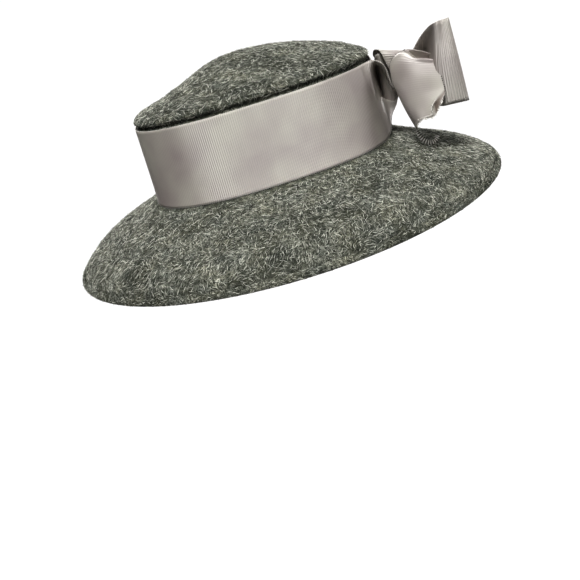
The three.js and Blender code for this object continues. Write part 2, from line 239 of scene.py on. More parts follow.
FINE = 4  # fine rows to each row of the tables
SAME_PLACE = 1e-6  # points nearer than this are one point
fine_rows = smooth_line(felt_rows, FINE * (len(felt_rows) - 1))
turns = np.linspace(0, 2 * math.pi, ROUND_STEPS + 1)
along, across = np.cos(turns), np.sin(turns)
along[np.abs(along) < 1e-9] = 0
across[np.abs(across) < 1e-9] = 0
back_share, front_share = np.maximum(along, 0) ** 2, np.maximum(-along, 0) ** 2
length, width, square, front, side, back = fine_rows.T[:, :, None]
felt_out = np.stack([
    width * np.sign(across) * np.abs(across) ** (2 / square),
    length * np.sign(along) * np.abs(along) ** (2 / square),
    front * front_share + back * back_share + side * (1 - front_share - back_share),
], axis=-1)
felt_out[0] = (0, 0, felt_out[0, :, 2].mean())

# How far each fine row is from the tip along the felt, for the flat pattern of the wool.
# From the crown's foot on, it counts from the crown's half length, as the brim is flat.
step = np.linalg.norm(np.diff(felt_out, axis=0), axis=2).mean(axis=1)
travel = np.concatenate([[0], np.cumsum(step)])
travel[FINE * (wall_end - 1):] += CROWN_HALF_LENGTH - travel[FINE * (wall_end - 1)]

rows = len(fine_rows)
bm = bmesh.new()
bmesh.ops.create_grid(bm, x_segments=ROUND_STEPS, y_segments=rows - 1, size=1)
blank = bm.verts.layers.float_vector.new("blank")
for vertex in bm.verts:
    j = round((vertex.co.x + 1) / 2 * ROUND_STEPS)
    i = round((vertex.co.y + 1) / 2 * (rows - 1))
    vertex.co = Vector(felt_out[i, j])
    vertex[blank] = Vector((across[j] * travel[i], along[j] * travel[i], 0))
bmesh.ops.remove_doubles(bm, verts=bm.verts, dist=SAME_PLACE)
bmesh.ops.recalc_face_normals(bm, faces=bm.faces)  # an open shell may come out inside out
if sum(face.normal.z * face.calc_area() for face in bm.faces) < 0:
    bmesh.ops.reverse_faces(bm, faces=bm.faces)
for face in bm.faces:
    face.smooth = True
felt_mesh = bpy.data.meshes.new("felt_hood")
bm.to_mesh(felt_mesh)
bm.free()
felt_hood = bpy.data.objects.new("felt_hood", felt_mesh)
scene.collection.objects.link(felt_hood)
wall = felt_hood.modifiers.new("wall", "SOLIDIFY")
wall.thickness = FELT_WALL
wall.offset = -1

# One direction of wool strands: stretched cells, each one strand with its own shade.
strands = bpy.data.node_groups.new("wool_strands", "ShaderNodeTree")
for name, kind in (
    ("Vector", "NodeSocketVector"),
    ("Turn", "NodeSocketFloat"),
    ("Length", "NodeSocketFloat"),
    ("Width", "NodeSocketFloat"),
    ("Shift", "NodeSocketVector"),
):
    strands.interface.new_socket(name, in_out="INPUT", socket_type=kind)
for name in ("Strand", "Shade"):
    strands.interface.new_socket(name, in_out="OUTPUT", socket_type="NodeSocketFloat")
tree = strands
group_in = tree.nodes.new("NodeGroupInput")
group_out = tree.nodes.new("NodeGroupOutput")
shifted = tree.nodes.new("ShaderNodeVectorMath")
tree.links.new(group_in.outputs["Vector"], shifted.inputs[0])
tree.links.new(group_in.outputs["Shift"], shifted.inputs[1])
curl = tree.nodes.new("ShaderNodeTexNoise")
curl.inputs["Scale"].default_value = 140
curl.inputs["Detail"].default_value = 1
tree.links.new(shifted.outputs[0], curl.inputs["Vector"])
centred = tree.nodes.new("ShaderNodeVectorMath")
centred.operation = "SUBTRACT"
centred.inputs[1].default_value = (0.5, 0.5, 0.5)
tree.links.new(curl.outputs["Color"], centred.inputs[0])
curled = tree.nodes.new("ShaderNodeVectorMath")
curled.operation = "MULTIPLY_ADD"
curled.inputs[1].default_value = (6 * MM, 6 * MM, 0)
tree.links.new(centred.outputs[0], curled.inputs[0])
tree.links.new(shifted.outputs[0], curled.inputs[2])
turn = tree.nodes.new("ShaderNodeVectorRotate")
turn.rotation_type = "Z_AXIS"
tree.links.new(curled.outputs[0], turn.inputs["Vector"])
tree.links.new(group_in.outputs["Turn"], turn.inputs["Angle"])
cell = tree.nodes.new("ShaderNodeCombineXYZ")
cell.inputs["Z"].default_value = 1
tree.links.new(group_in.outputs["Length"], cell.inputs["X"])
tree.links.new(group_in.outputs["Width"], cell.inputs["Y"])
scaled = tree.nodes.new("ShaderNodeVectorMath")
scaled.operation = "DIVIDE"
tree.links.new(turn.outputs[0], scaled.inputs[0])
tree.links.new(cell.outputs[0], scaled.inputs[1])
cells = tree.nodes.new("ShaderNodeTexVoronoi")
cells.voronoi_dimensions = "2D"
cells.inputs["Scale"].default_value = 1
tree.links.new(scaled.outputs[0], cells.inputs["Vector"])
inside = tree.nodes.new("ShaderNodeMapRange")
inside.interpolation_type = "SMOOTHSTEP"
inside.inputs["From Min"].default_value = 0.50
inside.inputs["From Max"].default_value = 0.16
tree.links.new(cells.outputs["Distance"], inside.inputs["Value"])
tree.links.new(inside.outputs[0], group_out.inputs["Strand"])
own = tree.nodes.new("ShaderNodeSeparateXYZ")
tree.links.new(cells.outputs["Color"], own.inputs[0])
tree.links.new(own.outputs[0], group_out.inputs["Shade"])

# The felt is a dark ground with six layers of strands over it, each thick in some patches
# and thin in others. The strands also raise its nap.
felt = bpy.data.materials.new("wool_felt")
felt.use_nodes = True
tree = felt.node_tree
felt_shader = tree.nodes["Principled BSDF"]
felt_shader.inputs["Roughness"].default_value = 0.95
felt_shader.inputs["Specular IOR Level"].default_value = 0.15
pattern = tree.nodes.new("ShaderNodeAttribute")
pattern.attribute_name = "blank"
# Each layer of strands: its turn in degrees, length and width in mm, and shift in metres.
STRAND_LAYERS = [
    (0, 4.5, 0.52, (0.31, 0.05, 0)),
    (28, 5.5, 0.58, (0.77, 0.62, 0)),
    (61, 4.0, 0.48, (0.13, 0.91, 0)),
    (92, 5.0, 0.54, (0.58, 0.24, 0)),
    (121, 6.0, 0.60, (0.42, 0.37, 0)),
    (152, 4.2, 0.50, (0.95, 0.83, 0)),
]
height = None  # of the uppermost strand, over all layers
for degrees, strand_length, strand_width, shift in STRAND_LAYERS:
    layer = tree.nodes.new("ShaderNodeGroup")
    layer.node_tree = strands
    layer.inputs["Turn"].default_value = math.radians(degrees)
    layer.inputs["Length"].default_value = strand_length * MM
    layer.inputs["Width"].default_value = strand_width * MM
    layer.inputs["Shift"].default_value = shift
    tree.links.new(pattern.outputs["Vector"], layer.inputs["Vector"])
    patch = tree.nodes.new("ShaderNodeTexNoise")
    patch.noise_dimensions = "4D"
    patch.inputs["W"].default_value = degrees
    patch.inputs["Scale"].default_value = 38
    patch.inputs["Detail"].default_value = 0
    tree.links.new(pattern.outputs["Vector"], patch.inputs["Vector"])
    amount = tree.nodes.new("ShaderNodeMapRange")
    amount.inputs["From Min"].default_value = 0.38
    amount.inputs["From Max"].default_value = 0.62
    amount.inputs["To Min"].default_value = 0.25
    tree.links.new(patch.outputs["Fac"], amount.inputs["Value"])
    lit = tree.nodes.new("ShaderNodeMath")
    lit.operation = "MULTIPLY"
    tree.links.new(layer.outputs["Strand"], lit.inputs[0])
    tree.links.new(layer.outputs["Shade"], lit.inputs[1])
    weighted = tree.nodes.new("ShaderNodeMath")
    weighted.operation = "MULTIPLY"
    tree.links.new(lit.outputs[0], weighted.inputs[0])
    tree.links.new(amount.outputs[0], weighted.inputs[1])
    if height is None:
        height = weighted.outputs[0]
        continue
    top = tree.nodes.new("ShaderNodeMath")
    top.operation = "MAXIMUM"
    tree.links.new(height, top.inputs[0])
    tree.links.new(weighted.outputs[0], top.inputs[1])
    height = top.outputs[0]
wool = tree.nodes.new("ShaderNodeValToRGB")
wool.color_ramp.elements[0].position = 0.05
wool.color_ramp.elements[0].color = (0.024, 0.026, 0.021, 1)
wool.color_ramp.elements[1].position = 0.9
wool.color_ramp.elements[1].color = (0.45, 0.45, 0.39, 1)
middle = wool.color_ramp.elements.new(0.45)
middle.color = (0.112, 0.117, 0.096, 1)
tree.links.new(height, wool.inputs["Fac"])
tone = tree.nodes.new("ShaderNodeTexNoise")
tone.inputs["Scale"].default_value = 55
tone.inputs["Detail"].default_value = 2
tree.links.new(pattern.outputs["Vector"], tone.inputs["Vector"])
tint = tree.nodes.new("ShaderNodeValToRGB")
tint.color_ramp.elements[0].position = 0.35
tint.color_ramp.elements[0].color = (0.93, 0.96, 0.98, 1)
tint.color_ramp.elements[1].position = 0.65
tint.color_ramp.elements[1].color = (1.05, 1.04, 0.97, 1)
tree.links.new(tone.outputs["Fac"], tint.inputs["Fac"])
dyed = tree.nodes.new("ShaderNodeMix")
dyed.data_type = "RGBA"
dyed.blend_type = "MULTIPLY"
dyed.inputs["Factor"].default_value = 1
tree.links.new(wool.outputs["Color"], dyed.inputs["A"])
tree.links.new(tint.outputs["Color"], dyed.inputs["B"])
tree.links.new(dyed.outputs["Result"], felt_shader.inputs["Base Color"])
nap = tree.nodes.new("ShaderNodeBump")
nap.inputs["Strength"].default_value = 0.7
nap.inputs["Distance"].default_value = 0.6 * MM
tree.links.new(height, nap.inputs["Height"])
tree.links.new(nap.outputs["Normal"], felt_shader.inputs["Normal"])
felt_mesh.materials.append(felt)
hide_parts("felt_hat")
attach(felt_hood, "root")

# ---------------------------------------------------------------- loose wool
# Coarse pale and dark hairs lie matted all over the felt. Each is a closed tapered strand
# of one to six millimetres, flat on the felt or with one end standing off it.
STRAND_FACES = np.array([
    (0, 3, 1), (0, 2, 3), (0, 1, 2),  # from the first tip to the first ring
    (1, 3, 6), (1, 6, 4), (3, 2, 5), (3, 5, 6), (2, 1, 4), (2, 4, 5),  # between the rings
    (7, 4, 6), (7, 6, 5), (7, 5, 4),  # from the second ring to the last tip
])


def strand_points(middle, heading, up, length, width, bend, lift):
    """The eight corners of each bent, tapered strand: a tip, two three-sided rings, a tip."""
    side = np.cross(up, heading)
    corners = []
    for t in (-1, -0.4, 0.4, 1):
        sideways_bow = bend * length * (t * t - 0.3)
        spine = middle + heading * (length / 2 * t)[:, None] + side * sideways_bow[:, None]
        spine = spine + up * (lift * ((t + 1) / 2) ** 2)[:, None]
        if abs(t) == 1:
            corners.append(spine)
            continue
        half = (width / 2)[:, None]
        corners += [spine + side * half, spine - side * half, spine + up * half]
    return np.stack(corners, axis=1)


def joined_mesh(name, points, faces, shades, material):
    """Many small closed shapes as one piece: a row of points is one of them, with its shade."""
    count, corners = points.shape[:2]
    all_faces = (faces[None] + corners * np.arange(count)[:, None, None]).reshape(-1, faces.shape[1])
    mesh = bpy.data.meshes.new(name)
    mesh.from_pydata(points.reshape(-1, 3).tolist(), [], all_faces.tolist())
    own_shade = mesh.attributes.new("shade", "FLOAT", "POINT")
    own_shade.data.foreach_set("value", np.repeat(shades, corners).astype(np.float32))
    mesh.materials.append(material)
    piece = bpy.data.objects.new(name, mesh)
    scene.collection.objects.link(piece)
    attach(piece, "root")
    return piece


loose_wool = bpy.data.materials.new("loose_wool")
loose_wool.use_nodes = True
tree = loose_wool.node_tree
hair_shader = tree.nodes["Principled BSDF"]
hair_shader.inputs["Roughness"].default_value = 0.7
hair_shader.inputs["Specular IOR Level"].default_value = 0.2
own = tree.nodes.new("ShaderNodeAttribute")
own.attribute_name = "shade"
hair = tree.nodes.new("ShaderNodeValToRGB")
hair.color_ramp.elements[0].position = 0.0
hair.color_ramp.elements[0].color = (0.016, 0.017, 0.013, 1)
hair.color_ramp.elements[1].position = 1.0
hair.color_ramp.elements[1].color = (0.80, 0.80, 0.71, 1)
middle = hair.color_ramp.elements.new(0.5)
middle.color = (0.190, 0.196, 0.165, 1)
tree.links.new(own.outputs["Fac"], hair.inputs["Fac"])
tree.links.new(hair.outputs["Color"], hair_shader.inputs["Base Color"])

# Fine rows of the felt: where the ribbon begins and ends, the crease and the rolled edge.
RIBBON_TOP_ROW = FINE * (len(CROWN_TOP) - 1.4)
RIBBON_FOOT_ROW = FINE * (wall_end + 0.6)
HEM_CREASE_ROW = FINE * (wall_end + 9)
EDGE_ROW = FINE * (wall_end + 12.6)
CREASE_HALF_WIDTH = 1.5  # rows with no hairs in them
BY_EDGE_FROM, BY_EDGE_REACH = HEM_CREASE_ROW - 6, 8  # hairs are shorter and lie along the edge
COMBED_OVER_HEM = 19 * MM  # this far above the crease the hairs are combed down to the edge
COMBED_REACH = 13 * MM
# The hairs in mm, least and most. A quarter of them stand off the felt at one end.
HAIR_LENGTHS = (2.0, 6.2)
HAIR_WIDTHS = (0.17, 0.34)
STANDING_SHARE = 0.25
STANDING_LIFTS = (0.2, 1.4)
FLAT_LIFT = 0.1
HAIR_CLEARANCE = 0.08
SHORTER_BY_EDGE = 0.4
# How widely the hairs differ in lay, in radians, and in bend and shade.
LAY_SPREAD, EDGE_SPREAD, COMBED_SPREAD = 0.65, 0.5, 0.4
BEND_SPREAD = 0.12
SHADE_MIDDLE, SHADE_CLUMPS, SHADE_SPREAD = 0.47, 0.10, 0.36
loose = np.random.default_rng(11)
down_step = felt_out[1:, :-1] - felt_out[:-1, :-1]
round_step = felt_out[:-1, 1:] - felt_out[:-1, :-1]
cell_size = np.linalg.norm(np.cross(down_step, round_step), axis=2)
for name, first_row, last_row, first_turn, last_turn, count in (
    ("crown_wool", 0, RIBBON_TOP_ROW, 0, 1, 11000),
    ("brim_wool_left", RIBBON_FOOT_ROW, EDGE_ROW, 0, 0.5, 16500),
    ("brim_wool_right", RIBBON_FOOT_ROW, EDGE_ROW, 0.5, 1, 16500),
):
    row_of, turn_of = np.meshgrid(np.arange(rows - 1), np.arange(ROUND_STEPS), indexing="ij")
    chance = cell_size * (row_of >= first_row) * (row_of < last_row)
    chance = chance * (turn_of >= first_turn * ROUND_STEPS) * (turn_of < last_turn * ROUND_STEPS)
    chance = chance * (np.abs(row_of - HEM_CREASE_ROW) > CREASE_HALF_WIDTH)
    cell_of = loose.choice(chance.size, count, p=(chance / chance.sum()).ravel())
    i, j = row_of.ravel()[cell_of], turn_of.ravel()[cell_of]
    down, round_ = loose.random((2, count, 1))
    near, far = felt_out[i, j], felt_out[i + 1, j]
    near_next, far_next = felt_out[i, j + 1], felt_out[i + 1, j + 1]
    place = (near * (1 - down) + far * down) * (1 - round_)
    place = place + (near_next * (1 - down) + far_next * down) * round_
    outward = far + far_next - near - near_next
    sideways = near_next + far_next - near - far
    up = np.cross(sideways, outward)
    up /= np.linalg.norm(up, axis=1, keepdims=True)
    level = sideways - up * (sideways * up).sum(axis=1, keepdims=True)
    level /= np.linalg.norm(level, axis=1, keepdims=True)
    # The hairs swirl in patches of three to four centimetres; the lay is their turn from level.
    x, y = place[:, 0], place[:, 1]
    lay = np.sin(170 * x + 2 * np.sin(120 * y)) + 0.9 * np.sin(190 * y + 2 * np.sin(80 * x + 1))
    lay += loose.normal(0, LAY_SPREAD, count)
    by_edge = np.clip((i - BY_EDGE_FROM) / BY_EDGE_REACH, 0, 1)
    over_hem = travel[HEM_CREASE_ROW] - travel[i]
    combed = np.clip(1 - np.abs(over_hem - COMBED_OVER_HEM) / COMBED_REACH, 0, 1)
    lay = lay * (1 - by_edge) + loose.normal(0, EDGE_SPREAD, count) * by_edge
    lay = lay * (1 - combed) + (math.pi / 2 + loose.normal(0, COMBED_SPREAD, count)) * combed
    heading = level * np.cos(lay)[:, None] + np.cross(up, level) * np.sin(lay)[:, None]
    length = loose.uniform(*HAIR_LENGTHS, count) * MM * (1 - SHORTER_BY_EDGE * by_edge)
    width = loose.uniform(*HAIR_WIDTHS, count) * MM
    bend = loose.normal(0, BEND_SPREAD, count)
    standing = loose.random(count) < STANDING_SHARE
    lift = np.where(standing, loose.uniform(*STANDING_LIFTS, count), FLAT_LIFT) * MM
    # Pale hairs gather in clumps of about two centimetres.
    clump = SHADE_CLUMPS * np.sin(310 * x + 3 * np.sin(210 * y)) * np.sin(270 * y + 2 * np.sin(190 * x))
    clump = SHADE_MIDDLE + clump
    shade = np.clip(clump + loose.normal(0, SHADE_SPREAD, count), 0, 1)
    place = place + up * HAIR_CLEARANCE * MM
    wool_piece = joined_mesh(name, strand_points(place, heading, up, length, width, bend, lift),
                             STRAND_FACES, shade, loose_wool)

# ---------------------------------------------------------------- ribbon band
# A 60 mm grosgrain ribbon lies round the crown with its lower selvedge on the brim. Both
# ends leave the crown at the back left and run into the knot of the bow. The near end
# folds into a deep pleat on its way.
RIBBON_WIDTH = 60.2 * MM
RIBBON_THICKNESS = 0.5 * MM
BAND_STAND = 0.9 * MM  # from the felt to the middle of the ribbon
BAND_FLARE = 0.6 * MM  # more at the lower selvedge, over the lowest part of the width
BAND_FLARE_SHARE = 0.3
BAND_SHARES = (0, 0.18, 0.36, 0.46, 0.64, 0.82, 1)  # the lines along the ribbon, by its width
BAND_NEAR_TURN = math.radians(31)  # where each end leaves the crown, from straight back
BAND_FAR_TURN = math.radians(5)
BAND_SECTIONS_ROUND = 49

# Sections of the two ends off the crown in mm, from the lower selvedge to the upper one.
# The near end folds over a lip into a pit and comes out again at the upper selvedge.
BAND_NEAR_END = [
    {"low": (41.5, 92.4, 44.4), "face": (43.6, 90.9, 56.8), "lip": (44.8, 89.4, 68.5),
     "under": (45.2, 88.9, 74), "pit": (45.4, 89.0, 85),
     "fall": (45.6, 89.4, 95), "high": (47, 90.9, 104.8)},
    {"low": (38.6, 94.8, 46.5), "face": (39.8, 93.6, 59.6), "lip": (41.0, 92.2, 71.4),
     "under": (40.8, 91.6, 76.5), "pit": (40, 91.7, 83.5),
     "fall": (39.5, 92.4, 93.5), "high": (47.9, 92.6, 104.3)},
    {"low": (33.5, 97.7, 50.1), "face": (36.2, 95.9, 62.6), "lip": (38, 94.2, 74.4),
     "under": (36, 95.2, 72.2), "pit": (26, 96.8, 68),
     "fall": (25.5, 97, 94), "high": (48.5, 94.6, 103.4)},
    {"low": (31.0, 99.1, 54.9), "face": (32.8, 98.5, 63.1), "lip": (34.5, 97.9, 71.3),
     "under": (32.5, 98.6, 69), "pit": (20, 99.4, 64),
     "fall": (20, 99.8, 90), "high": (50, 97.9, 100.8)},
    {"low": (29.5, 102.2, 59.3), "face": (30.5, 102.3, 63.8), "lip": (31.5, 102.5, 68.2),
     "under": (29.5, 102.8, 66.2), "pit": (20, 102.6, 62),
     "fall": (22, 102.8, 84), "high": (49.5, 100.2, 96)},
    {"low": (27.5, 106.4, 63.8), "face": (27.8, 106.6, 65.4), "lip": (28.0, 106.8, 67.1),
     "under": (27, 106.4, 66.5), "pit": (23, 106, 65),
     "fall": (26.5, 105.2, 78), "high": (48.2, 101.2, 88)},
    {"low": (28.5, 109.0, 69.4), "face": (29, 108.8, 70), "lip": (29.5, 108.6, 70.8),
     "under": (28.5, 108.6, 71.2), "pit": (28, 108.4, 73),
     "fall": (34, 106.6, 77), "high": (45.2, 103.4, 80.6)},
    {"low": (31, 113, 73.5), "face": (31.5, 113, 74), "lip": (32, 112.8, 75),
     "under": (32, 112.8, 76), "pit": (33, 112.6, 78),
     "fall": (37, 112, 80.5), "high": (42, 111, 82)},
]
BAND_FAR_END = [
    {"low": (17, 100.2, 46.5), "high": (17, 98.2, 99.6)},
    {"low": (27, 103.8, 63), "high": (40, 98.5, 106.6)},
    {"low": (28.5, 109.5, 73), "high": (36, 106.0, 102)},
]


def ribbon_piece(name, sections, along_steps, across_steps, cut_length, rib_depth=1.0,
                 closed=False):
    """A strip of ribbon laid through sections in mm, each a list from selvedge to selvedge.
    Its ribs have a depth of 1 on the band. Returns the piece and its two selvedges."""
    spread = [smooth_line(np.array(list(points), float) * MM, across_steps) for points in sections]
    spread = np.array(spread)
    lines = np.stack([smooth_line(spread[:, j], along_steps, closed) for j in range(across_steps + 1)])
    middle_line = lines[across_steps // 2]
    run = np.concatenate([[0], np.cumsum(np.linalg.norm(np.diff(middle_line, axis=0), axis=1))])
    run *= cut_length / run[-1]
    bm = bmesh.new()
    bmesh.ops.create_grid(bm, x_segments=across_steps, y_segments=along_steps, size=1)
    uv = bm.loops.layers.uv.new("cut")
    place = {}
    for vertex in bm.verts:
        j = round((vertex.co.x + 1) / 2 * across_steps)
        i = round((vertex.co.y + 1) / 2 * along_steps)
        place[vertex] = (run[i], RIBBON_WIDTH * j / across_steps)
        vertex.co = Vector(lines[j, i])
    for face in bm.faces:
        face.smooth = True
        for loop in face.loops:
            loop[uv].uv = place[loop.vert]
    if closed:
        bmesh.ops.remove_doubles(bm, verts=bm.verts, dist=SAME_PLACE)
    mesh = bpy.data.meshes.new(name)
    bm.to_mesh(mesh)
    bm.free()
    # The ribs' depth sets both their bump and their painted shade.
    depth = mesh.attributes.new("rib_depth", "FLOAT", "POINT")
    depth.data.foreach_set("value", np.full(len(mesh.vertices), rib_depth, np.float32))
    mesh.materials.append(grosgrain)
    piece = bpy.data.objects.new(name, mesh)
    scene.collection.objects.link(piece)
    body = piece.modifiers.new("thickness", "SOLIDIFY")
    body.thickness = RIBBON_THICKNESS
    body.offset = 0
    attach(piece, "root")
    return piece, (lines[0], lines[-1])


# The cloth is ribbed across, with a clouded tone that is partly its own and partly painted sheen,
# painted shade in the grooves between the ribs, and a soft sheen that the ribs draw out.
grosgrain = bpy.data.materials.new("grosgrain")
grosgrain.use_nodes = True
tree = grosgrain.node_tree
ribbon_shader = tree.nodes["Principled BSDF"]
ribbon_shader.inputs["Metallic"].default_value = 0.2
ribbon_shader.inputs["Roughness"].default_value = 0.64
ribbon_shader.inputs["IOR"].default_value = 2.4
ribbon_shader.inputs["Specular IOR Level"].default_value = 0.8
ribbon_shader.inputs["Anisotropic"].default_value = 0.92
ribbon_shader.inputs["Anisotropic Rotation"].default_value = 0.25
RIB_PITCH = 1.55 * MM
cut = tree.nodes.new("ShaderNodeUVMap")
cut.uv_map = "cut"
along_cut = tree.nodes.new("ShaderNodeTangent")
along_cut.direction_type = "UV_MAP"
along_cut.uv_map = "cut"
tree.links.new(along_cut.outputs[0], ribbon_shader.inputs["Tangent"])
cut_parts = tree.nodes.new("ShaderNodeSeparateXYZ")
tree.links.new(cut.outputs["UV"], cut_parts.inputs[0])
phase = tree.nodes.new("ShaderNodeMath")
phase.operation = "MULTIPLY"
phase.inputs[1].default_value = 2 * math.pi / RIB_PITCH
tree.links.new(cut_parts.outputs["X"], phase.inputs[0])
rib = tree.nodes.new("ShaderNodeMath")
rib.operation = "SINE"
tree.links.new(phase.outputs[0], rib.inputs[0])
depth = tree.nodes.new("ShaderNodeAttribute")
depth.attribute_name = "rib_depth"
ribs = tree.nodes.new("ShaderNodeMath")
ribs.operation = "MULTIPLY"
tree.links.new(rib.outputs[0], ribs.inputs[0])
tree.links.new(depth.outputs["Fac"], ribs.inputs[1])
# The clouded tone is partly the cloth's own colour and partly painted sheen: the lighter, greener
# patches stand for sheen where the ribbon is not quite flat.
tone_and_sheen_cloud = tree.nodes.new("ShaderNodeTexNoise")
tone_and_sheen_cloud.inputs["Scale"].default_value = 28
tone_and_sheen_cloud.inputs["Detail"].default_value = 2
tree.links.new(cut.outputs["UV"], tone_and_sheen_cloud.inputs["Vector"])
cloth_tone_and_sheen = tree.nodes.new("ShaderNodeValToRGB")
cloth_tone_and_sheen.color_ramp.elements[0].position = 0.3
cloth_tone_and_sheen.color_ramp.elements[0].color = (0.40, 0.348, 0.332, 1)
cloth_tone_and_sheen.color_ramp.elements[1].position = 0.7
cloth_tone_and_sheen.color_ramp.elements[1].color = (0.545, 0.518, 0.457, 1)
tree.links.new(tone_and_sheen_cloud.outputs["Fac"], cloth_tone_and_sheen.inputs["Fac"])
# Painted shade and light on the ribs: the colour is darker in the grooves and lighter on the crests, in
# step with the bump.
shade = tree.nodes.new("ShaderNodeMapRange")
shade.inputs["From Min"].default_value = -1
shade.inputs["From Max"].default_value = 1
shade.inputs["To Min"].default_value = 0.86
shade.inputs["To Max"].default_value = 1.06
tree.links.new(ribs.outputs[0], shade.inputs["Value"])
ribbed = tree.nodes.new("ShaderNodeMix")
ribbed.data_type = "RGBA"
ribbed.blend_type = "MULTIPLY"
ribbed.inputs["Factor"].default_value = 1
tree.links.new(cloth_tone_and_sheen.outputs["Color"], ribbed.inputs["A"])
tree.links.new(shade.outputs[0], ribbed.inputs["B"])
# The tail's lower outer corner is coloured dark: painted shade on its frayed flap.
corner_painted_shade_attr = tree.nodes.new("ShaderNodeAttribute")
corner_painted_shade_attr.attribute_name = "corner_painted_shade"
cloth_with_corner_shade = tree.nodes.new("ShaderNodeMix")
cloth_with_corner_shade.data_type = "RGBA"
cloth_with_corner_shade.inputs["B"].default_value = (0.16, 0.12, 0.09, 1)
tree.links.new(corner_painted_shade_attr.outputs["Fac"], cloth_with_corner_shade.inputs["Factor"])
tree.links.new(ribbed.outputs["Result"], cloth_with_corner_shade.inputs["A"])
tree.links.new(cloth_with_corner_shade.outputs["Result"], ribbon_shader.inputs["Base Color"])
rib_bump = tree.nodes.new("ShaderNodeBump")
rib_bump.inputs["Strength"].default_value = 1
rib_bump.inputs["Distance"].default_value = 0.08 * MM
tree.links.new(ribs.outputs[0], rib_bump.inputs["Height"])
tree.links.new(rib_bump.outputs["Normal"], ribbon_shader.inputs["Normal"])

# Each rib ends in a tiny loop of thread outside the selvedge.
bead_source = bmesh.new()
bmesh.ops.create_icosphere(bead_source, subdivisions=1, radius=1)
bead_source.verts.index_update()
BEAD_POINTS = np.array([vertex.co for vertex in bead_source.verts])
BEAD_FACES = np.array([[vertex.index for vertex in face.verts] for face in bead_source.faces])
bead_source.free()
EDGE_LOOP_LONG = 0.95 * MM  # along the edge
EDGE_LOOP_WIDE = 0.75 * MM
AHEAD = 0.3 * MM  # the edge's direction is read this far ahead

edge_thread = bpy.data.materials.new("edge_thread")
edge_thread.use_nodes = True
tree = edge_thread.node_tree
thread_shader = tree.nodes["Principled BSDF"]
thread_shader.inputs["Roughness"].default_value = 0.5
own = tree.nodes.new("ShaderNodeAttribute")
own.attribute_name = "shade"
thread = tree.nodes.new("ShaderNodeValToRGB")
thread.color_ramp.elements[0].position = 0.0
thread.color_ramp.elements[0].color = (0.06, 0.05, 0.045, 1)
thread.color_ramp.elements[1].position = 1.0
thread.color_ramp.elements[1].color = (0.85, 0.83, 0.78, 1)
tree.links.new(own.outputs["Fac"], thread.inputs["Fac"])
tree.links.new(thread.outputs["Color"], thread_shader.inputs["Base Color"])


def edge_loops(name, lines, pitch, shades=(0.6, 0.95), size=1.0):
    """A row of thread loops along each of the given edges."""
    points = []
    for line in lines:
        run = np.concatenate([[0], np.cumsum(np.linalg.norm(np.diff(line, axis=0), axis=1))])
        at = np.arange(pitch / 2, run[-1], pitch)
        middles = np.stack([np.interp(at, run, line[:, k]) for k in range(3)], axis=1)
        ahead = np.stack([np.interp(at + AHEAD, run, line[:, k]) for k in range(3)], axis=1) - middles
        ahead /= np.maximum(np.linalg.norm(ahead, axis=1, keepdims=True), 1e-9)
        beads = BEAD_POINTS[None] * size * EDGE_LOOP_WIDE / 2
        along_edge = (beads * ahead[:, None]).sum(axis=2, keepdims=True)
        beads = beads + ahead[:, None] * along_edge * (EDGE_LOOP_LONG / EDGE_LOOP_WIDE - 1)
        points.append(middles[:, None] + beads)
    points = np.concatenate(points)
    piece = joined_mesh(name, points, BEAD_FACES, loose.uniform(*shades, len(points)), edge_thread)
    return piece


band_sections = [smooth_line([row["low"], row["high"]], 6) for row in reversed(BAND_FAR_END)]
for angle in np.linspace(BAND_FAR_TURN + 2 * math.pi, BAND_NEAR_TURN, BAND_SECTIONS_ROUND):
    points = []
    for share in BAND_SHARES:
        length = CROWN_HALF_LENGTH - CROWN_TAPER * share
        width = length * CROWN_WIDTH_RATIO
        stand = BAND_STAND + BAND_FLARE * max(0, 1 - share / BAND_FLARE_SHARE) ** 2
        power = 2 / CROWN_SQUARENESS
        points.append(np.array([
            (width + stand) * math.copysign(abs(math.sin(angle)) ** power, math.sin(angle)),
            (length + stand) * math.copysign(abs(math.cos(angle)) ** power, math.cos(angle)),
            CROWN_FOOT + RIBBON_WIDTH * share,
        ]) / MM)
    band_sections.append(points)
band_sections += [list(row.values()) for row in BAND_NEAR_END]
band_length = 0.62  # the middle line of the finished band is 15 mm longer
ribbon_band, band_edges = ribbon_piece(
    "grosgrain_band", band_sections, along_steps=5 * (len(band_sections) - 1), across_steps=36,
    cut_length=band_length)
band_loops = edge_loops("band_edge_loops", band_edges, RIB_PITCH)
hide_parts("ribbon_band")

# ---------------------------------------------------------------- bow knot
# A short length of the same ribbon, folded narrow, goes once round the gathered middle of
# the bow. It holds the loops, the tail and both ends of the band together.
KNOT_WRAP = [
    {"foot": (33, 112.5, 62.6), "head": (33, 123.0, 62.2)},
    {"foot": (42, 111.5, 64.5), "head": (42, 122.5, 64.2)},
    {"foot": (48, 109.5, 72.0), "head": (48.4, 122.0, 72.0)},
    {"foot": (49, 107.0, 82.0), "head": (49.4, 121.5, 81.0)},
    {"foot": (48.8, 104.2, 91.0), "head": (49, 121.0, 90.0)},
    {"foot": (48.6, 101.6, 98.6), "head": (48.6, 120.6, 96.4)},
    {"foot": (48.0, 99.6, 107.4), "head": (47.6, 120.5, 101.6)},
    {"foot": (45.8, 99.4, 108.9), "head": (45.4, 120.6, 102.6)},
    {"foot": (32, 98.8, 109.4), "head": (31.5, 120.8, 102.0)},
    {"foot": (25, 98.4, 107.6), "head": (25.4, 120.6, 100.0)},
    {"foot": (20.2, 98.8, 103.8), "head": (20.8, 120.8, 95.0)},
    {"foot": (18.8, 102.6, 96.0), "head": (19.2, 121.0, 86.0)},
    {"foot": (19.6, 108.0, 81.0), "head": (20, 121.6, 76.0)},
    {"foot": (24, 111.2, 68.0), "head": (24, 122.4, 67.0)},
    {"foot": (33, 112.5, 62.6), "head": (33, 123.0, 62.2)},
]
